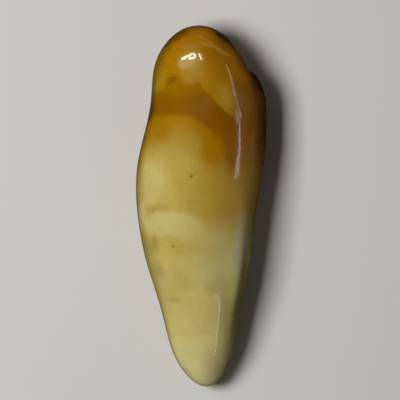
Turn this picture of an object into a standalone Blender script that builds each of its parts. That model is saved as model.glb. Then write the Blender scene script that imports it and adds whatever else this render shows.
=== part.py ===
"""A short, stout walrus tusk, worn round at both ends and polished, lying on its flatter side.

X runs across the tusk, Y along it from the tip towards the root end, and Z up from the surface
that it lies on. The origin is the middle of the tusk's box, on that surface.
"""

import math

import bmesh
import bpy
import numpy as np

MM = 0.001

# Driving dimensions, in millimetres and degrees. Angles round the tusk start at its right-hand
# side, +X, and run over the upper face.
LENGTH = 120.0
REST_CUT = 0.7  # depth of the flat that the tusk rests on

# The tusk at every 18 degrees of the half turn that carries the outline from tip to root end.
# Core: where the middle of the section lies, to the right of the tip-to-root line and above the
# lowest point. Swell: how far the section reaches from the core, before both ends round it down.
CORE_RIGHT = (1.9, 1.4, 0.5, 0.2, -1.1, -2.2, -0.9, 0.4, -0.4, -0.7, -0.7)
CORE_HEIGHT = (7.3, 7.9, 9.9, 11.9, 13.3, 14.3, 14.6, 14.4, 14.1, 13.9, 13.8)
SIDE_SWELL = (18.1, 17.2, 16.8, 16.3, 17.9, 19.2, 20.4, 21.2, 24.5, 25.6, 27.2)
UPPER_SWELL = (16.0, 16.2, 14.8, 14.2, 14.5, 15.6, 16.9, 17.4, 21.6, 24.5, 25.5)
UNDER_SWELL = (13.0, 13.2, 13.6, 14.0, 14.6, 15.5, 16.8, 18.2, 19.2, 20.0, 20.5)

# The ridge along the right side. It rises out of the tusk a quarter of the way up and ends round,
# short of the root end. Distances are from the tip.
RIDGE_HEIGHT = 4.4
RIDGE_START = 18.0
RIDGE_CREST = 96.0
RIDGE_END = (88.0, 105.0)  # where it begins to fall away and where it is gone
RIDGE_END_FULLNESS = 2.5  # at 2 its end falls away as a quarter of an ellipse, and over 2 later
RIDGE_RISE = 1.8  # over 1, the ridge rises slowly at first
RIDGE_ANGLE = -2.0
RIDGE_SPREAD = (17.0, 25.0)  # towards the upper face and towards the underside

# Bands that run along the tusk: the shoulder at the right edge of the upper face, the short furrow
# between it and the ridge's start, and a shallow furrow low on the left side. For each: how far it
# stands out, where it starts, is full from and to, and ends, its angle at the ridge's start and at
# its crest, and its spread.
BANDS = (
    (0.9, (12.0, 40.0, 48.0, 76.0), (36.0, 26.0), 12.0),
    (-0.9, (14.0, 26.0, 38.0, 60.0), (23.0, 14.0), 8.0),
    (-0.8, (15.0, 40.0, 80.0, 105.0), (205.0, 205.0), 14.0),
)

# Facets
RINGS = 62
SIDES = 60

IVORY = (0.53, 0.44, 0.15, 1.0)
ROUGHNESS = 0.22


def smooth_through(angles, values):
    """The cosine series through evenly spaced values: smooth all along and level at both ends."""
    orders = np.arange(len(values))
    stations = np.linspace(0, math.pi, len(values))
    weights = np.linalg.solve(np.cos(np.outer(stations, orders)), values)
    return np.cos(np.outer(angles, orders)) @ weights


def smooth_step(low, high, value):
    """0 before low and 1 after high, with an S-curve between."""
    share = np.clip((value - low) / (high - low), 0, 1)
    return share * share * (3 - 2 * share)


def hump(angle, middle, spread_below, spread_above):
    """A bell curve round the section, 1 at its middle, with its own spread on each side."""
    away = (angle - middle + 180) % 360 - 180
    return np.exp(-0.5 * (away / np.where(away < 0, spread_below, spread_above)) ** 2)


def span(from_tip, start, full_from, full_to, end):
    """1 over the middle of a stretch of the tusk, fading to 0 at its two ends."""
    return smooth_step(start, full_from, from_tip) * (1 - smooth_step(full_to, end, from_tip))


def relief(from_tip, around):
    """How far the ridge and the bands lift or sink the surface, in millimetres."""
    rise = np.clip((from_tip - RIDGE_START) / (RIDGE_CREST - RIDGE_START), 0, 1)
    fall = np.clip((from_tip - RIDGE_END[0]) / (RIDGE_END[1] - RIDGE_END[0]), 0, 1)
    drift = smooth_step(RIDGE_START, RIDGE_CREST, from_tip)
    ridge = RIDGE_HEIGHT * rise**RIDGE_RISE * np.sqrt(1 - fall**RIDGE_END_FULLNESS)
    lift = ridge * hump(around, RIDGE_ANGLE, RIDGE_SPREAD[1], RIDGE_SPREAD[0])
    for height, stretch, (angle, last_angle), spread in BANDS:
        middle = angle + drift * (last_angle - angle)
        lift += height * span(from_tip, *stretch) * hump(around, middle, spread, spread)
    return lift


def surface_point(along, around):
    """Points of the tusk in millimetres, along from 0 at the tip to pi at the root end and around
    in degrees. The section is an oval about the core, scaled by sin(along) so that it closes to a
    round end on both sides, and the relief stands on it."""
    from_tip = LENGTH / 2 * (1 - np.cos(along))
    lift = relief(from_tip, around)
    turn = np.radians(around)
    upwards = np.sin(turn)
    swell = np.where(upwards > 0, smooth_through(along, UPPER_SWELL), smooth_through(along, UNDER_SWELL))
    side = smooth_through(along, SIDE_SWELL)
    right = smooth_through(along, CORE_RIGHT) + (np.sin(along) * side + lift) * np.cos(turn)
    height = smooth_through(along, CORE_HEIGHT) + (np.sin(along) * swell + lift) * upwards
    return np.stack([right, from_tip - LENGTH / 2, height], axis=-1)


def tusk_mesh():
    """The closed surface: rings bridged from the tip to the root end, and a point at each end."""
    turns = np.arange(SIDES) * 360.0 / SIDES
    shape = bmesh.new()
    edges = []
    for along in np.linspace(0, math.pi, RINGS + 2)[1:-1]:
        ring = [shape.verts.new(point * MM) for point in surface_point(np.full(SIDES, along), turns)]
        edges.append([shape.edges.new((ring[i - 1], ring[i])) for i in range(SIDES)])
    for lower, upper in zip(edges, edges[1:]):
        bmesh.ops.bridge_loops(shape, edges=lower + upper)
    for along, ring in ((0.0, edges[0]), (math.pi, edges[-1])):
        pole = shape.verts.new(surface_point(np.array([along]), np.zeros(1))[0] * MM)
        for edge in ring:
            shape.faces.new((*edge.verts, pole))
    return shape


def grind_rest_flat(shape):
    """Cuts the underside off level, which is the face that the tusk lies on."""
    lowest = min(vert.co.z for vert in shape.verts)
    cut = bmesh.ops.bisect_plane(
        shape,
        geom=[*shape.verts, *shape.edges, *shape.faces],
        dist=0.00001 * MM,
        plane_co=(0, 0, lowest + REST_CUT * MM),
        plane_no=(0, 0, 1),
        clear_inner=True,
    )
    rim = [part for part in cut["geom_cut"] if isinstance(part, bmesh.types.BMEdge)]
    bmesh.ops.contextual_create(shape, geom=rim)
    bmesh.ops.recalc_face_normals(shape, faces=shape.faces)


def set_on_origin(shape):
    """Moves the tusk so that the middle of its footprint is the origin."""
    corners = np.array([vert.co for vert in shape.verts])
    low, high = corners.min(axis=0), corners.max(axis=0)
    middle = (low + high) / 2
    bmesh.ops.translate(shape, verts=shape.verts, vec=(-middle[0], -middle[1], -low[2]))


def ivory():
    """Polished tusk, yellow-cream."""
    material = bpy.data.materials.new("ivory")
    material.use_nodes = True
    shader = material.node_tree.nodes["Principled BSDF"]
    shader.inputs["Base Color"].default_value = IVORY
    shader.inputs["Roughness"].default_value = ROUGHNESS
    shader.inputs["Metallic"].default_value = 0.0
    return material


def add_tusk():
    shape = tusk_mesh()
    grind_rest_flat(shape)
    set_on_origin(shape)
    mesh = bpy.data.meshes.new("tusk")
    shape.to_mesh(mesh)
    shape.free()
    mesh.shade_smooth()
    mesh.set_sharp_from_angle(angle=math.radians(40))
    mesh.materials.append(ivory())
    tusk = bpy.data.objects.new("tusk", mesh)
    bpy.context.scene.collection.objects.link(tusk)
    return tusk


def main():
    for old in list(bpy.data.objects):
        bpy.data.objects.remove(old)
    add_tusk()


main()
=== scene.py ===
import itertools
import math

import bpy
import numpy as np
from mathutils import Matrix, Vector


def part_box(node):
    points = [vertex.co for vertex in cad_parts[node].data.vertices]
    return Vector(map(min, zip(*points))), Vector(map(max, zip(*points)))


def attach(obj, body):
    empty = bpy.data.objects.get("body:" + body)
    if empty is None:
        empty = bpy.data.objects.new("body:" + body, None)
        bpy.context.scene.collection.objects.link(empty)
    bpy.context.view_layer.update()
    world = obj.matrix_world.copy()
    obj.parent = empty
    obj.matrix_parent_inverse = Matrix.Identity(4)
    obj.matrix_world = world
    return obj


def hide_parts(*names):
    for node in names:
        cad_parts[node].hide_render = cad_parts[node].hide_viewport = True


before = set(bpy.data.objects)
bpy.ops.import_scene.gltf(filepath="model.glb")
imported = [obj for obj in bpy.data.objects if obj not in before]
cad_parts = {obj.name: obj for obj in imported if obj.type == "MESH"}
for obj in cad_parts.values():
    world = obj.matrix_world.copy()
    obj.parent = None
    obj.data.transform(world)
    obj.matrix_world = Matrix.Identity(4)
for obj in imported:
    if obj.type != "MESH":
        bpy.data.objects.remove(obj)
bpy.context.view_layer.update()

mm = 0.001


def linearColour(hexColour):
    # sRGB hex to linear light: the dark end is a straight line, the rest a power of 2.4.
    shares = [int(hexColour[i : i + 2], 16) / 255 for i in (1, 3, 5)]
    return (*[c / 12.92 if c <= 0.04045 else ((c + 0.055) / 1.055) ** 2.4 for c in shares], 1.0)


def addNode(tree, kind, inputs=(), **settings):
    # One node with its settings; each input is a value or another node's output socket.
    node = tree.nodes.new(kind)
    for name, value in settings.items():
        setattr(node, name, value)
    for name, value in dict(inputs).items():
        if isinstance(value, bpy.types.NodeSocket):
            tree.links.new(value, node.inputs[name])
        else:
            node.inputs[name].default_value = value
    return node


# The tusk's shape in millimetres and degrees, at every 18 degrees of the half turn that carries
# its outline from the tip to the root end. The core is the middle of the section, and a swell is how
# far the section reaches from it. Angles round the tusk start at the right, over the top.
tuskShape = {
    "length": 120.0,
    "restCut": 0.7,  # depth of the flat that it rests on
    "coreRight": (1.9, 1.4, 0.5, 0.2, -1.1, -2.2, -0.9, 0.4, -0.4, -0.7, -0.7),
    "coreHeight": (7.3, 7.9, 9.9, 11.9, 13.3, 14.3, 14.6, 14.4, 14.1, 13.9, 13.8),
    "sideSwell": (18.1, 17.2, 16.8, 16.3, 17.9, 19.2, 20.4, 21.2, 24.5, 25.6, 27.2),
    "upperSwell": (16.0, 16.2, 14.8, 14.2, 14.5, 15.6, 16.9, 17.4, 21.6, 24.5, 25.5),
    "underSwell": (13.0, 13.2, 13.6, 14.0, 14.6, 15.5, 16.8, 18.2, 19.2, 20.0, 20.5),
    "ridge": {
        "height": 4.4,
        "start": 18.0,
        "crest": 96.0,
        "rise": 1.8,  # over 1, it rises slowly at first
        "end": (88.0, 105.0),  # where it begins to fall away and where it is gone
        "fullness": 2.5,  # at 2 its end falls away as a quarter of an ellipse, and over 2 later
        "angle": -2.0,
        "spread": (17.0, 25.0),  # towards the upper face and towards the underside
    },
    # The shoulder at the upper face's right edge, the furrow under it, and one low on the left side:
    # height, where it starts, is full from and to, and ends, its angle at both ends, and its spread.
    "bands": (
        {"height": 0.9, "span": (12.0, 40.0, 48.0, 76.0), "angle": (36.0, 26.0), "spread": 12.0},
        {"height": -0.9, "span": (14.0, 26.0, 38.0, 60.0), "angle": (23.0, 14.0), "spread": 8.0},
        {"height": -0.8, "span": (15.0, 40.0, 80.0, 105.0), "angle": (205.0, 205.0), "spread": 14.0},
    ),
}

# What the grinding and polishing left on it, in millimetres.
tuskSurface = {
    "rings": 371,
    "sides": 266,  # points in a ring
    "ringCrowding": 0.12,  # how far the rings gather at mid-length
    "sideCrowding": 0.35,  # and the points of a ring on the upper side
    "waves": ((16.0, 0.12), (7.0, 0.05), (2.6, 0.008)),  # size of one wave and its height
    "pits": (  # right of the middle, towards the root, width, depth
        (-3.1, 9.9, 0.42, 0.45),
        (-15.7, -1.8, 0.4, 0.12),
    ),
    # Blunt edges where two ground faces meet. A row of a path has its distance from the tip, its
    # angle, and how wide the edge's round top is there, in degrees.
    "edges": (
        {
            "height": 0.10,
            "span": (64.5, 70.0, 100.0, 110.0),
            "reach": 7.0,
            "path": (
                (66.0, 52.2, 2.4), (70.0, 47.1, 2.4), (71.3, 46.2, 2.4), (73.6, 45.6, 2.2),
                (78.6, 45.2, 1.7), (83.6, 45.6, 1.3), (88.0, 45.4, 1.1), (89.6, 41.9, 1.1),
                (92.9, 46.2, 0.8), (94.9, 49.6, 0.8), (96.9, 53.0, 0.8), (101.2, 54.0, 0.8),
                (104.9, 55.0, 0.9), (106.9, 57.0, 0.9),
            ),
        },
        {
            "height": 0.13,
            "span": (7.0, 15.0, 27.0, 34.0),
            "reach": 8.0,
            "path": (
                (7.0, 67.0, 3.0), (10.7, 65.2, 3.0), (13.7, 64.0, 2.2), (18.7, 64.7, 1.6),
                (22.7, 63.8, 1.5), (26.7, 63.5, 1.5), (32.0, 66.0, 1.5),
            ),
        },
    ),
    "restEdge": 0.08,  # softness of the rest flat's rim
}


def smoothThrough(angles, values):
    # The cosine series through evenly spaced values: smooth all along and level at both ends.
    orders = np.arange(len(values))
    stations = np.linspace(0, math.pi, len(values))
    weights = np.linalg.solve(np.cos(np.outer(stations, orders)), values)
    return np.cos(angles[..., None] * orders) @ weights


def smoothStep(low, high, value):
    # 0 before low and 1 after high, with an S-curve between.
    share = np.clip((value - low) / (high - low), 0, 1)
    return share * share * (3 - 2 * share)


def hump(angle, middle, spreadBelow, spreadAbove):
    # A bell curve round the section, 1 at its middle, with its own spread on each side.
    away = (angle - middle + 180) % 360 - 180
    return np.exp(-0.5 * (away / np.where(away < 0, spreadBelow, spreadAbove)) ** 2)


def ridgeLift(shape, fromTip, around):
    # It rises as a power of the distance and ends as a full quarter of an ellipse; a bell across it.
    ridge = shape["ridge"]
    rise = np.clip((fromTip - ridge["start"]) / (ridge["crest"] - ridge["start"]), 0, 1)
    fall = np.clip((fromTip - ridge["end"][0]) / (ridge["end"][1] - ridge["end"][0]), 0, 1)
    height = ridge["height"] * rise ** ridge["rise"] * np.sqrt(1 - fall ** ridge["fullness"])
    upper, under = ridge["spread"]
    return height * hump(around, ridge["angle"], under, upper)


def fadedSpan(span, fromTip):
    # 1 over the middle of a stretch of the tusk, fading to 0 at its two ends.
    start, fullFrom, fullTo, end = span
    return smoothStep(start, fullFrom, fromTip) * (1 - smoothStep(fullTo, end, fromTip))


def bandLift(band, fromTip, around, drift):
    # A swell or groove along the tusk: a bell across it, faded out at both ends, drifting round it.
    fade = fadedSpan(band["span"], fromTip)
    angle = band["angle"][0] + drift * (band["angle"][1] - band["angle"][0])
    return band["height"] * fade * hump(around, angle, band["spread"], band["spread"])


def edgeLift(edge, fromTip, around):
    # A blunt edge along a path of angles: it falls off as exp(-away), rounded over at its top.
    stations, angles, roundTops = np.array(edge["path"]).T
    away = around - np.interp(fromTip, stations, angles)
    roundTop = np.interp(fromTip, stations, roundTops)
    height = edge["height"] * fadedSpan(edge["span"], fromTip)
    return height * np.exp(-np.hypot(away, roundTop) / edge["reach"])


latticeValues = 4096  # random values that the corners of a grid pick from
latticePrimes = (73856093, 19349663, 83492791)  # large primes that mix a corner's place into a pick


def latticeNoise(points, cell, seed):
    # Random values at the corners of a cubic grid, blended across each cell by an S-curve: -1 to 1.
    values = np.random.default_rng(seed).uniform(-1, 1, latticeValues)
    place = points / cell
    corner = np.floor(place).astype(np.int64)
    share = place - corner
    share = share * share * (3 - 2 * share)
    total = np.zeros(points.shape[:-1])
    for step in itertools.product((0, 1), repeat=3):
        key = ((corner + step) * latticePrimes).astype(np.int64)
        pick = (key[..., 0] ^ key[..., 1] ^ key[..., 2]) % latticeValues
        weight = np.prod(np.where(np.array(step) == 1, share, 1 - share), axis=-1)
        total += weight * values[pick]
    return total


def tuskSurfacePoints(along, around, shape):
    # Along runs from 0 at the tip to pi at the root end, around in degrees. The section is an oval
    # about the core, scaled by sin(along) so that both ends close round, with the ridge on it.
    fromTip = shape["length"] / 2 * (1 - np.cos(along))
    drift = smoothStep(shape["ridge"]["start"], shape["ridge"]["crest"], fromTip)
    lift = ridgeLift(shape, fromTip, around)
    for band in shape["bands"]:
        lift = lift + bandLift(band, fromTip, around, drift)
    for edge in tuskSurface["edges"]:
        lift = lift + edgeLift(edge, fromTip, around)
    turn = np.radians(around)
    upwards = np.sin(turn)
    upperSwell = smoothThrough(along, shape["upperSwell"])
    swell = np.where(upwards > 0, upperSwell, smoothThrough(along, shape["underSwell"]))
    side = smoothThrough(along, shape["sideSwell"])
    right = smoothThrough(along, shape["coreRight"]) + (np.sin(along) * side + lift) * np.cos(turn)
    height = smoothThrough(along, shape["coreHeight"]) + (np.sin(along) * swell + lift) * upwards
    return np.stack([right, fromTip - shape["length"] / 2, height], axis=-1)


def outwardNormals(points):
    # The cross product of the two directions of the grid; the last column meets the first.
    aroundStep = np.roll(points, -1, axis=1) - np.roll(points, 1, axis=1)
    alongStep = np.gradient(points, axis=0)
    normals = np.cross(alongStep, aroundStep)
    normals[0] = (0, -1, 0)
    normals[-1] = (0, 1, 0)
    return normals / np.linalg.norm(normals, axis=-1, keepdims=True)


def addTusk():
    # The surface is moved along its normals by noise, for the waves of hand grinding, and by a bell
    # round each pit. A soft maximum then flattens the underside.
    shape = tuskShape
    surface = tuskSurface
    share = np.linspace(0, 1, surface["rings"] + 2)
    along = math.pi * share + surface["ringCrowding"] * np.sin(2 * math.pi * share)
    turn = np.linspace(0, 2 * math.pi, surface["sides"], endpoint=False)
    around = np.degrees(turn + surface["sideCrowding"] * np.cos(turn))
    around = (around + 90) % 360 - 90  # the step from 360 to 0 degrees is moved to the underside
    along, around = np.meshgrid(along, around, indexing="ij")
    points = tuskSurfacePoints(along, around, shape)
    normals = outwardNormals(points)
    lift = np.zeros(along.shape)
    for seed, (size, height) in enumerate(surface["waves"]):
        lift += height * latticeNoise(points, size, seed)
    for right, rootwards, width, depth in surface["pits"]:
        away = np.hypot(points[..., 0] - right, points[..., 1] - rootwards)
        lift -= np.where(normals[..., 2] > 0, depth * np.exp(-((away / (width / 2)) ** 2)), 0)
    points = points + normals * lift[..., None]
    flat = points[..., 2].min() + shape["restCut"]
    edge = surface["restEdge"]
    points[..., 2] = flat + edge * np.logaddexp(0, (points[..., 2] - flat) / edge)
    return tuskMesh(points, along, around)


grainRadius = 18.0  # of the straight cylinder that the grain is laid out on, in millimetres


def tuskMesh(points, along, around):
    # Quads between the rings, and a fan of triangles from each end point to its first ring.
    rings, sides = points.shape[0] - 2, points.shape[1]
    low, high = (np.array(corner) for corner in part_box("tusk"))
    lowest, highest = points.min(axis=(0, 1)), points.max(axis=(0, 1))
    points = low + (points - lowest) / (highest - lowest) * (high - low)  # now in the frame's own box
    vertices = np.concatenate([points[0, :1], points[1:-1].reshape(-1, 3), points[-1, :1]])
    index = 1 + np.arange(rings * sides).reshape(rings, sides)
    beside = np.roll(index, -1, axis=1)
    quads = np.stack([index[:-1], index[1:], beside[1:], beside[:-1]], axis=-1).reshape(-1, 4)
    tip = np.stack([np.zeros(sides, int), index[0], beside[0]], axis=-1)
    root = np.stack([np.full(sides, len(vertices) - 1), beside[-1], index[-1]], axis=-1)
    mesh = bpy.data.meshes.new("polishedTusk")
    mesh.from_pydata(vertices.tolist(), [], quads.tolist() + tip.tolist() + root.tolist())
    mesh.shade_smooth()
    # Lengthwise grain: the straightened tusk as a cylinder, so that lines on it run tip to root.
    turn = np.radians(around)
    fromTip = tuskShape["length"] / 2 * (1 - np.cos(along))
    grain = np.stack([grainRadius * np.cos(turn), grainRadius * np.sin(turn), fromTip], axis=-1)
    grain = np.concatenate([grain[0, :1], grain[1:-1].reshape(-1, 3), grain[-1, :1]])
    attribute = mesh.attributes.new("grain", "FLOAT_VECTOR", "POINT")
    attribute.data.foreach_set("vector", grain.astype(np.float32).ravel())
    tusk = bpy.data.objects.new("polishedTusk", mesh)
    bpy.context.scene.collection.objects.link(tusk)
    return tusk


# The ivory. Places are in millimetres from the middle of the tusk's footprint: right, towards the
# root, up. A colour spot is an ellipsoid of colour: mostly stains, and some painted shade, light,
# sheen and highlights, named where they stand. Each row has its middle, its reach from there, its
# turn in degrees, how soft its rim is, how strong it is, and its colour.
ivory = {
    "alongTusk": (  # distance from the tip, and the colour of the dentine there
        (0, "#DFD195"),
        (8, "#DDCF92"),
        (13, "#D7CB87"),
        (20, "#D0C076"),
        (29, "#C8B76B"),
        (40, "#CAC47E"),
        (48, "#C4B767"),
        (55, "#C0AC5C"),
        (62, "#B28F35"),
        (68, "#A4761C"),
        (74, "#986208"),
        (80, "#915A00"),
        (88, "#8C5800"),
        (94, "#8E5E00"),
        (100, "#9C6C00"),
        (105, "#AB7C02"),
        (112, "#AC7900"),
        (116, "#B27800"),
        (120, "#B87200"),
    ),
    "stainsAndPaintedLight": (
        # The dark patch and the saddle, and the window of golden dentine that cuts into them.
        ((5.0, 21.5, 24), (9.7, 12.6, 24), 0, 0.1, 0.9, "#8E5802"),
        ((-0.2, 32.2, 26), (4.2, 5.4, 14), 0, 0.2, 0.8, "#8C5A0C"),
        # A pinkish, less saturated patch in the saddle: partly a painted soft sheen.
        ((-0.2, 32.8, 26), (2.2, 2.6, 14), 0, 0.7, 0.2, "#986A34"),
        ((2.9, 34.6, 26), (1.6, 2.0, 12), 0, 0.6, 0.5, "#A06E10"),
        ((8.2, 37.5, 24), (13.0, 5.0, 14), -44, 0.1, 0.9, "#AC8010"),
        ((9.4, 36.2, 24), (5.0, 3.4, 14), -50, 0.5, 0.65, "#BC983C"),
        # The flank's brown, and painted shade darkening its outer side towards the rim.
        ((15.4, 34.0, 22), (5.0, 16.0, 24), 0, 0.45, 0.85, "#8E5600"),
        ((20.4, 33.5, 18), (3.0, 15.0, 24), 0, 0.45, 0.8, "#643A04"),
        ((19.2, 43.2, 20), (2.8, 5.4, 14), 0, 0.5, 0.85, "#3A1E04"),
        ((13.7, 26.0, 20), (1.2, 14.0, 14), 0, 0.8, 0.4, "#AC7A2C"),
        # A painted reflection: a thin pale lilac streak along the ridge's crest.
        ((16.4, 12.9, 20), (0.8, 10.0, 14), -5, 0.8, 0.4, "#A88A64"),
        ((16.4, 1.5, 18), (3.2, 8.5, 14), -4, 0.6, 0.5, "#8C5E28"),
        ((15.2, 21.0, 20), (2.6, 4.4, 14), 0, 0.7, 0.3, "#B47A2C"),
        # The tongue of paler dentine and what lies in it, from its edge inwards.
        ((-8.4, 10.8, 24), (16.4, 20.3, 24), 0, 0.06, 1.0, "#A67802"),
        # The left rim at the waist: brown dentine, darkened further as painted shade.
        ((-18.2, 32.5, 18), (2.6, 8.0, 14), -10, 0.7, 0.65, "#5E3A02"),
        ((-18.9, 27.6, 18), (1.9, 8.0, 20), -10, 0.8, 0.75, "#442A06"),
        ((-8.6, 6.8, 24), (14.0, 19.5, 22), 0, 0.2, 0.9, "#B79535"),
        ((-9.8, 2.6, 24), (12.5, 17.8, 20), 0, 0.22, 0.95, "#BEA651"),
        ((-8.0, -10.0, 22), (18.0, 16.0, 20), 0, 0.45, 0.8, "#C3AF5E"),
        ((8.0, 3.5, 24), (13.5, 13.0, 20), 0, 0.45, 0.8, "#B49236"),
        ((3.8, 18.2, 24), (4.4, 6.4, 16), 0, 0.4, 0.8, "#A67200"),
        ((9.8, 16.4, 24), (2.6, 5.6, 14), 0, 0.5, 0.7, "#925C06"),
        ((-15.0, 25.8, 22), (5.0, 4.6, 14), 0, 0.4, 0.75, "#A67402"),
        # Paler dentine on the left, partly a painted sheen where the key lamp would reflect.
        ((-15.6, 8.0, 22), (5.2, 8.0, 14), 0, 0.55, 0.8, "#CDBE73"),
        # Painted shade along the left rim.
        ((-20.6, 9.0, 16), (1.5, 11.0, 14), 0, 0.7, 0.3, "#A08838"),
        # Pale and tan patches down to the tip, with painted light, shade, sheen and a highlight among them.
        ((-14.6, -1.6, 24), (4.4, 1.9, 16), 0, 0.7, 0.65, "#B0963C"),
        # Painted light: a paler strip on the left rim, against its shade.
        ((-19.8, -2.4, 16), (1.8, 4.4, 14), 0, 0.7, 0.5, "#DCD29C"),
        ((-12.6, -5.8, 24), (6.8, 3.8, 16), 16, 0.35, 0.65, "#CABE80"),
        ((-5.4, -6.6, 24), (6.6, 4.9, 16), -8, 0.3, 0.7, "#CABE7A"),
        ((8.2, -3.0, 24), (4.8, 3.8, 14), 20, 0.55, 0.4, "#AC883A"),
        ((6.9, -15.3, 22), (9.0, 9.0, 16), 0, 0.7, 0.5, "#B9AF76"),
        ((-8.0, -26.0, 22), (5.0, 4.2, 14), 0, 0.5, 0.3, "#AE9648"),
        # A painted sheen: a lavender grey band on the right side, where a soft light would reflect.
        ((12.9, -12.6, 20), (2.4, 8.0, 16), -6, 0.8, 0.6, "#BEB49A"),
        ((-3.5, -14.3, 26), (8.5, 2.0, 14), 3, 0.6, 0.5, "#BDA44D"),
        ((-17.0, -12.4, 18), (3.4, 3.4, 14), 0, 0.6, 0.55, "#A18C40"),
        ((-14.0, -21.3, 20), (2.4, 3.0, 12), 20, 0.7, 0.35, "#A88C48"),
        ((-9.1, -31.0, 20), (2.0, 0.9, 12), -8, 0.6, 0.4, "#A08938"),
        ((4.8, -26.4, 22), (3.8, 2.8, 12), 0, 0.6, 0.5, "#AE9A50"),
        ((-3.0, -42.0, 20), (9.0, 1.6, 14), 0, 0.7, 0.3, "#C0AE62"),
        # Painted shade along the left rim towards the tip.
        ((-16.8, -21.0, 16), (1.9, 17.0, 16), 14, 0.8, 0.4, "#A4924C"),
        # Painted shade: the right side of the tip darkened, most at its rim.
        ((8.6, -38.8, 16), (2.8, 14.0, 16), 8, 0.7, 0.5, "#A0905A"),
        ((12.6, -34.0, 12), (1.6, 12.0, 14), -8, 0.7, 0.6, "#7A6244"),
        ((15.6, -17.0, 9), (1.5, 13.0, 9), -10, 0.7, 0.6, "#6A5C34"),
        # A painted highlight: a small pale streak at the top of the tip's edge highlight.
        ((5.3, -30.2, 20), (0.7, 1.6, 12), 0, 0.8, 0.5, "#D8CFA8"),
        # Painted shade on the right of the tip's end.
        ((5.8, -52.0, 14), (4.4, 6.5, 14), -20, 0.8, 0.5, "#A6985E"),
        # The saddle's left side and the dome.
        ((-10.8, 41.3, 24), (2.4, 1.2, 12), 25, 0.4, 0.75, "#825600"),
        ((-13.2, 36.2, 22), (3.4, 4.6, 12), -25, 0.5, 0.4, "#885C00"),
        ((-9.6, 38.0, 24), (2.6, 1.9, 12), 0, 0.4, 0.4, "#A07000"),
        ((-14.8, 41.6, 20), (3.4, 3.6, 12), 10, 0.5, 0.65, "#B48E18"),
        # Painted shade along the dome's left rim.
        ((-14.2, 49.0, 18), (2.4, 11.0, 14), -22, 0.6, 0.7, "#7E5A02"),
        ((-9.8, 55.4, 18), (6.0, 2.0, 14), 38, 0.6, 0.85, "#704800"),
        ((6.9, 46.6, 22), (5.0, 9.0, 14), 0, 0.6, 0.6, "#A26A00"),
        # Paler dentine under the dome's bright highlight, with the soft haze of that reflection painted on
        # it.
        ((-3.4, 43.8, 26), (3.8, 3.0, 10), 0, 0.55, 0.6, "#B88E38"),
        ((-2.9, 47.2, 26), (3.4, 2.6, 10), 0, 0.6, 0.5, "#BC9A44"),
        ((-5.0, 47.2, 26), (2.4, 2.0, 10), 0, 0.4, 0.7, "#C6A664"),
        # A painted halo just above the dome's highlight.
        ((-3.1, 52.3, 24), (2.6, 1.2, 12), 0, 0.8, 0.25, "#B89258"),
        ((2.6, 57.4, 20), (4.0, 1.6, 12), -10, 0.6, 0.6, "#C47E00"),
        ((3.4, 50.0, 24), (3.4, 2.4, 12), -20, 0.6, 0.45, "#A66400"),
        ((-7.3, 56.8, 22), (4.2, 2.2, 14), 28, 0.6, 0.5, "#8C5400"),
        # Growth layers that the grinding laid open on the dome's right side, then painted shade and light
        # there.
        ((7.9, 53.2, 22), (4.6, 1.6, 14), -40, 0.4, 0.5, "#A45A00"),
        ((2.6, 53.1, 22), (3.6, 0.34, 14), -18, 0.8, 0.75, "#C49A38"),
        ((8.3, 50.2, 22), (4.6, 0.36, 14), -32, 0.8, 0.8, "#C49A38"),
        ((2.3, 54.5, 20), (4.2, 0.55, 14), -31, 0.8, 0.6, "#C09028"),
        # Painted shade on the dome's top right rim.
        ((7.4, 57.1, 18), (6.4, 1.7, 16), -42, 0.7, 0.95, "#3E1A00"),
        # Painted light: a lighter patch on the dome's right flank, against its shade.
        ((12.0, 47.6, 20), (2.4, 6.5, 14), 22, 0.6, 0.75, "#C88200"),
    ),
    "marks": (  # small and sharp: two smudges, painted shade in the pits, and dirt in a short crack
        ((-15.3, -11.4, 24), (0.9, 2.0, 14), 12, 0.9, 0.3, "#8A6A20"),
        ((-13.2, -21.4, 24), (1.0, 1.9, 14), 30, 0.9, 0.25, "#96742C"),
        # Painted shade in and round the two pits, which are too small in the mesh to shade.
        ((-3.1, 9.9, 24), (0.9, 0.9, 14), 0, 0.9, 0.28, "#6E5210"),
        ((-3.1, 9.9, 24), (0.32, 0.32, 14), 0, 0.4, 1.0, "#140A02"),
        ((-15.8, -1.6, 22), (0.32, 0.34, 14), 0, 0.5, 0.45, "#4E3C10"),
        ((-10.4, -11.75, 24), (1.1, 0.2, 14), -14, 0.6, 0.32, "#6E581C"),
        ((-9.35, -12.9, 24), (0.22, 0.8, 14), -8, 0.6, 0.3, "#6E581C"),
        ((-9.3, -13.5, 24), (0.5, 0.32, 14), 20, 0.5, 0.4, "#6A5418"),
    ),
    # Painted shade, greenish, low on the left side, which darkens the left rim: the angle that it faces,
    # the shares of facing that way at which it starts and is full, how strong it is, and its colour.
    "paintedLeftShade": {"angle": 200.0, "from": 0.62, "to": 0.92, "share": 0.45, "colour": "#9CA484"},
    "wobbles": ((9.0, 3.0), (2.6, 1.3)),  # size of one wave of a colour's edge, and how far it strays
    "clouds": ((9.0, 0.05), (3.5, 0.028), (0.9, 0.010)),  # size of a cloud in the dentine, and contrast
    "striae": {"across": 0.9, "along": 12.0, "contrast": 0.012},  # drawn coarser than the real 0.2 mm
    "grit": ((2.2, 0.022), (0.75, 0.014), (0.35, 0.007)),  # size and depth of what polishing left
    "gloss": {
        "roughness": (0.26, 0.32),  # of the dentine under the polish, from patch to patch
        "patch": 4.0,
        "level": 0.12,  # the dentine shines little, because the polish over it does
        "coat": 1.0,
        "coatRoughness": 0.06,
        "ior": 1.54,  # ivory's
    },
    "glow": {"weight": 0.3, "radius": (1.0, 0.55, 0.22), "depth": 2.5},  # red light goes in deepest
}
noiseRange = (0.3, 0.7)  # a noise texture's values lie mostly between these, round 0.5


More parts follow.
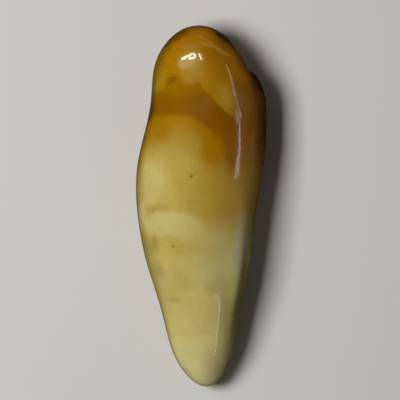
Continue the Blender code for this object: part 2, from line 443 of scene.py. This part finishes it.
def addColourSpot(tree, colour, place, colourSpot):
    # The distance from the spot's middle, in its own turned and stretched space, fades its colour out.
    middle, reach, turn, edge, strength, hexColour = colourSpot
    inputs = {"Vector": place, "Location": middle, "Rotation": (0, 0, math.radians(turn)), "Scale": reach}
    inside = addNode(tree, "ShaderNodeMapping", inputs, vector_type="TEXTURE").outputs["Vector"]
    away = addNode(tree, "ShaderNodeVectorMath", {0: inside}, operation="LENGTH").outputs["Value"]
    inputs = {"Value": away, "From Min": 1 + edge, "From Max": 1 - edge, "To Min": 0.0, "To Max": strength}
    fade = addNode(tree, "ShaderNodeMapRange", inputs, interpolation_type="SMOOTHSTEP").outputs["Result"]
    inputs = {0: fade, 6: colour, 7: linearColour(hexColour)}  # 6 and 7 are its two colours
    return addNode(tree, "ShaderNodeMix", inputs, data_type="RGBA").outputs[2]


def addPatches(tree, place, size, low, high):
    # A value that drifts between low and high over patches of the size given.
    inputs = {"Vector": place, "Scale": 1 / size, "Detail": 3.0}
    noise = addNode(tree, "ShaderNodeTexNoise", inputs).outputs["Fac"]
    bottom, top = noiseRange
    inputs = {"Value": noise, "From Min": bottom, "From Max": top, "To Min": low, "To Max": high}
    return addNode(tree, "ShaderNodeMapRange", inputs).outputs["Result"]


def addCloud(tree, colour, place, size, contrast):
    # Soft noise that makes the colour a little lighter and darker.
    value = addPatches(tree, place, size, 1 - contrast, 1 + contrast)
    return addNode(tree, "ShaderNodeVectorMath", {0: colour, 3: value}, operation="SCALE").outputs["Vector"]


def addPaintedLeftShade(tree, colour):
    # The painted shade is full where the section faces one way, and gone where it faces the other.
    paintedLeftShade = ivory["paintedLeftShade"]
    angle = math.radians(paintedLeftShade["angle"])
    grain = addNode(tree, "ShaderNodeAttribute", attribute_name="grain").outputs["Vector"]
    towards = (math.cos(angle) / grainRadius, math.sin(angle) / grainRadius, 0)
    inputs = {0: grain, 1: towards}
    facing = addNode(tree, "ShaderNodeVectorMath", inputs, operation="DOT_PRODUCT").outputs["Value"]
    start, full = paintedLeftShade["from"], paintedLeftShade["to"]
    inputs = {"Value": facing, "From Min": start, "From Max": full, "To Max": paintedLeftShade["share"]}
    fade = addNode(tree, "ShaderNodeMapRange", inputs, interpolation_type="SMOOTHSTEP").outputs["Result"]
    inputs = {0: fade, 6: colour, 7: linearColour(paintedLeftShade["colour"])}
    return addNode(tree, "ShaderNodeMix", inputs, data_type="RGBA", blend_type="MULTIPLY").outputs[2]


def agedIvory():
    # Walrus ivory, ground and polished by hand: pale dentine, stained amber towards the root. Light
    # enters it a little, which makes it look waxy, and the polish lies on it as a thin clear gloss.
    material = bpy.data.materials.new("agedIvory")
    material.use_nodes = True
    tree = material.node_tree
    shader = tree.nodes["Principled BSDF"]
    metres = addNode(tree, "ShaderNodeTexCoord").outputs["Object"]
    inputs = {0: metres, 3: 1 / mm}
    straight = addNode(tree, "ShaderNodeVectorMath", inputs, operation="SCALE").outputs["Vector"]
    place = straight
    for size, stray in ivory["wobbles"]:
        inputs = {"Vector": straight, "Scale": 1 / size}
        noise = addNode(tree, "ShaderNodeTexNoise", inputs).outputs["Color"]
        inputs = {0: noise, 1: (0.5, 0.5, 0.5)}  # noise runs from 0 to 1
        noise = addNode(tree, "ShaderNodeVectorMath", inputs, operation="SUBTRACT").outputs["Vector"]
        inputs = {0: noise, 1: (stray, stray, stray), 2: place}
        place = addNode(tree, "ShaderNodeVectorMath", inputs, operation="MULTIPLY_ADD").outputs["Vector"]
    half = tuskShape["length"] / 2
    along = addNode(tree, "ShaderNodeSeparateXYZ", {0: place}).outputs["Y"]
    inputs = {"Value": along, "From Min": -half, "From Max": half}
    share = addNode(tree, "ShaderNodeMapRange", inputs).outputs["Result"]
    ramp = addNode(tree, "ShaderNodeValToRGB", {0: share})
    stops = ramp.color_ramp.elements
    while len(stops) < len(ivory["alongTusk"]):
        stops.new(0.5)  # each gets its own place below
    for stop, (distance, tint) in zip(stops, ivory["alongTusk"]):
        stop.position = distance / tuskShape["length"]
        stop.color = linearColour(tint)
    colour = ramp.outputs["Color"]
    for colourSpot in ivory["stainsAndPaintedLight"]:
        colour = addColourSpot(tree, colour, place, colourSpot)
    for mark in ivory["marks"]:
        colour = addColourSpot(tree, colour, straight, mark)
    for size, contrast in ivory["clouds"]:
        colour = addCloud(tree, colour, straight, size, contrast)
    striae = ivory["striae"]
    grain = addNode(tree, "ShaderNodeAttribute", attribute_name="grain").outputs["Vector"]
    stretch = (1 / striae["across"], 1 / striae["across"], 1 / striae["along"])
    inputs = {0: grain, 1: stretch}
    grain = addNode(tree, "ShaderNodeVectorMath", inputs, operation="MULTIPLY").outputs["Vector"]
    colour = addCloud(tree, colour, grain, 1.0, striae["contrast"])
    colour = addPaintedLeftShade(tree, colour)
    tree.links.new(colour, shader.inputs["Base Color"])
    gloss = ivory["gloss"]
    roughness = addPatches(tree, straight, gloss["patch"], *gloss["roughness"])
    tree.links.new(roughness, shader.inputs["Roughness"])
    normal = None
    for size, depth in ivory["grit"]:
        inputs = {"Vector": straight, "Scale": 1 / size, "Detail": 2.0}
        noise = addNode(tree, "ShaderNodeTexNoise", inputs).outputs["Fac"]
        inputs = {"Height": noise, "Distance": depth * mm}
        if normal:
            inputs["Normal"] = normal
        normal = addNode(tree, "ShaderNodeBump", inputs).outputs["Normal"]
    tree.links.new(normal, shader.inputs["Normal"])
    tree.links.new(normal, shader.inputs["Coat Normal"])
    shader.inputs["IOR"].default_value = gloss["ior"]
    shader.inputs["Specular IOR Level"].default_value = gloss["level"]
    shader.inputs["Coat Weight"].default_value = gloss["coat"]
    shader.inputs["Coat Roughness"].default_value = gloss["coatRoughness"]
    glow = ivory["glow"]
    shader.inputs["Subsurface Weight"].default_value = glow["weight"]
    shader.inputs["Subsurface Radius"].default_value = glow["radius"]
    shader.inputs["Subsurface Scale"].default_value = glow["depth"] * mm
    return material


# The light. Each lamp is a row of rectangles from point to point, as wide as it says, that face the
# tusk. Points are in metres. The key lights the tusk, and the gleams only show in its polish: the
# dome's make the bright patch with its ring and bar, and the shoulder's and the tip's the thin lines.
studio = {
    "floorColour": "#DAD8D4",
    "floorRoughness": 0.9,
    "floorSize": 3.0,
    "skyColour": "#FFFFFF",
    "skyStrength": 0.05,
    "facing": (0.0, 0.01, 0.02),  # a point inside the tusk, which every lamp faces but one
    "key": {
        "points": ((-0.42, -0.131, 0.83), (-0.42, 0.219, 0.83)),
        "width": 0.35,
        "radiance": 18.7,
        "colour": "#FFFFFF",
    },
    "gleams": (
        {
            "name": "domeLeft",
            "points": ((-0.340, 0.308, 0.329), (-0.218, 0.371, 0.373)),
            "width": 0.036,
            "radiance": 28.0,
            "colour": "#FFF6E0",
        },
        {
            "name": "domeTop",
            "points": ((-0.198, 0.404, 0.377), (-0.085, 0.410, 0.389)),
            "width": 0.028,
            "radiance": 28.0,
            "colour": "#FFF6E0",
        },
        {
            "name": "domeBottom",
            "points": ((-0.197, 0.330, 0.412), (-0.085, 0.335, 0.424)),
            "width": 0.028,
            "radiance": 28.0,
            "colour": "#FFF6E0",
        },
        {
            "name": "domeRingLeft",
            "points": ((-0.198, 0.396, 0.381), (-0.197, 0.340, 0.405)),
            "width": 0.030,
            "radiance": 28.0,
            "colour": "#FFF6E0",
        },
        {
            "name": "domeRingRight",
            "points": ((-0.082, 0.400, 0.393), (-0.082, 0.345, 0.417)),
            "width": 0.030,
            "radiance": 28.0,
            "colour": "#FFF6E0",
        },
        {
            "name": "domeRight",
            "points": ((0.000, 0.413, 0.390), (0.034, 0.330, 0.433)),
            "width": 0.026,
            "radiance": 32.0,
            "colour": "#FFF6E0",
        },
        {
            "name": "floorLeft",
            "points": ((-0.019, -0.06, 0.0006), (-0.019, 0.06, 0.0006)),
            "width": 0.024,
            "facing": (-0.019, 0.0, 1.0),  # upwards, as light that the floor throws back
            "radiance": 0.12,
            "colour": "#E0B070",
        },
        {
            "name": "shoulderTop",
            "points": (
                (0.415, 0.284, 0.194), (0.439, 0.239, 0.192), (0.454, 0.165, 0.219),
                (0.470, 0.122, 0.205),
            ),
            "width": 0.042,
            "radiance": 2.7,
            "colour": "#FFD8D8",
        },
        {
            "name": "shoulder",
            "points": ((0.482, 0.120, 0.184), (0.489, 0.108, 0.150)),
            "width": 0.032,
            "radiance": 3.4,
            "colour": "#FFEAFF",
        },
        {
            "name": "shoulderMiddle",
            "points": ((0.484, 0.104, 0.174), (0.492, 0.040, 0.166)),
            "width": 0.055,
            "radiance": 3.4,
            "colour": "#FFEAFF",
        },
        {
            "name": "shoulderLow",
            "points": ((0.492, 0.040, 0.166), (0.492, 0.015, 0.164)),
            "width": 0.085,
            "radiance": 3.4,
            "colour": "#FFEAFF",
        },
        {
            "name": "shoulderEnd",
            "points": ((0.490, 0.015, 0.168), (0.486, -0.040, 0.178)),
            "width": 0.105,
            "radiance": 3.0,
            "colour": "#FFE8F4",
        },
        {
            "name": "shoulderStreak",
            "points": ((0.482, -0.044, 0.186), (0.470, -0.058, 0.210)),
            "width": 0.03,
            "radiance": 3.0,
            "colour": "#FFEADC",
        },
        {
            "name": "tipEdge",
            "points": (
                (0.313, -0.231, 0.363), (0.324, -0.243, 0.346), (0.329, -0.266, 0.326),
                (0.326, -0.295, 0.306), (0.316, -0.322, 0.294), (0.316, -0.360, 0.253),
            ),
            "width": 0.06,
            "radiance": 3.4,
            "colour": "#F0E8FF",
        },
        {
            "name": "tipDot",
            "points": ((0.2985, -0.399, 0.2265), (0.294, -0.414, 0.218)),
            "width": 0.05,
            "radiance": 16.0,
            "colour": "#FFF6E0",
        },
        {
            "name": "tipSheen",
            "points": ((0.29, -0.22, 0.40), (0.27, -0.34, 0.34), (0.24, -0.41, 0.29)),
            "width": 0.10,
            "radiance": 0.35,
            "colour": "#DCD8FF",
        },
    ),
}


def addLamp(name, lamp, gleam):
    # In each rectangle its own X runs along the row, and its own Z away from what it faces. A lamp of
    # pi times its area, in watts, shines with a radiance of 1.
    corners = [Vector(point) for point in lamp["points"]]
    for start, end in itertools.pairwise(corners):
        middle = (start + end) / 2
        right = (end - start).normalized()
        back = middle - Vector(lamp.get("facing", studio["facing"]))
        back = (back - back.dot(right) * right).normalized()
        data = bpy.data.lights.new(name, "AREA")
        data.shape = "RECTANGLE"
        data.size = (end - start).length
        data.size_y = lamp["width"]
        data.energy = math.pi * lamp["radiance"] * data.size * data.size_y
        data.color = linearColour(lamp["colour"])[:3]
        light = bpy.data.objects.new(name, data)
        turned = Matrix((right, back.cross(right), back)).transposed().to_4x4()
        light.matrix_world = Matrix.Translation(middle) @ turned
        light.visible_camera = False
        light.visible_glossy = gleam
        light.visible_diffuse = not gleam
        bpy.context.scene.collection.objects.link(light)


def addStudio():
    # A pale paper floor, a faint even sky, the key lamp, and the lamps that only gleam in the polish.
    scene = bpy.context.scene
    half = studio["floorSize"] / 2
    corners = [(-half, -half, 0), (half, -half, 0), (half, half, 0), (-half, half, 0)]
    mesh = bpy.data.meshes.new("floor")
    mesh.from_pydata(corners, [], [(0, 1, 2, 3)])
    floor = bpy.data.objects.new("floor", mesh)
    material = bpy.data.materials.new("palePaper")
    material.use_nodes = True
    paper = material.node_tree.nodes["Principled BSDF"]
    paper.inputs["Base Color"].default_value = linearColour(studio["floorColour"])
    paper.inputs["Roughness"].default_value = studio["floorRoughness"]
    mesh.materials.append(material)
    scene.collection.objects.link(floor)
    floor.visible_glossy = False
    world = bpy.data.worlds.new("studio")
    world.use_nodes = True
    sky = world.node_tree.nodes["Background"]
    sky.inputs["Color"].default_value = linearColour(studio["skyColour"])
    sky.inputs["Strength"].default_value = studio["skyStrength"]
    scene.world = world
    world.cycles_visibility.glossy = False
    addLamp("key", studio["key"], False)
    for lamp in studio["gleams"]:
        addLamp(lamp["name"], lamp, True)
    scene.view_settings.view_transform = "Standard"


# The camera looks straight down, as in the photograph, from far enough away for a flat view.
photo = {
    "pixels": 400,
    "tuskMiddle": (201.25, 206.2),  # pixel of the middle of the tusk's box
    "tuskPixels": 361.3,  # its length in the picture
    "distance": 2.0,  # metres above the outline's height
    "outlineHeight": 0.014,  # metres above the floor
    "sensorWidth": 36.0,
}


def addCamera():
    # The lens shows as many millimetres in a pixel as the tusk's length has, and the camera stands
    # aside by as much as the tusk's middle is off the middle of the photograph.
    low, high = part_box("tusk")
    perPixel = (high.y - low.y) / photo["tuskPixels"]
    data = bpy.data.cameras.new("camera")
    data.sensor_width = photo["sensorWidth"]
    data.lens = data.sensor_width * photo["distance"] / (perPixel * photo["pixels"])
    camera = bpy.data.objects.new("camera", data)
    across, down = (photo["pixels"] / 2 - place for place in photo["tuskMiddle"])
    camera.location = (across * perPixel, -down * perPixel, photo["outlineHeight"] + photo["distance"])
    bpy.context.scene.collection.objects.link(camera)
    bpy.context.scene.camera = camera


tusk = addTusk()
print("tusk: surface made, with", len(tusk.data.vertices), "points")
tusk.data.materials.append(agedIvory())
print("ivory: material made, with", len(ivory["stainsAndPaintedLight"]), "stainsAndPaintedLight")
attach(tusk, "root")
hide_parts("tusk")
addStudio()
print("studio: floor and", 1 + len(studio["gleams"]), "rows of lamps placed")
addCamera()
print("camera: placed above the tusk")
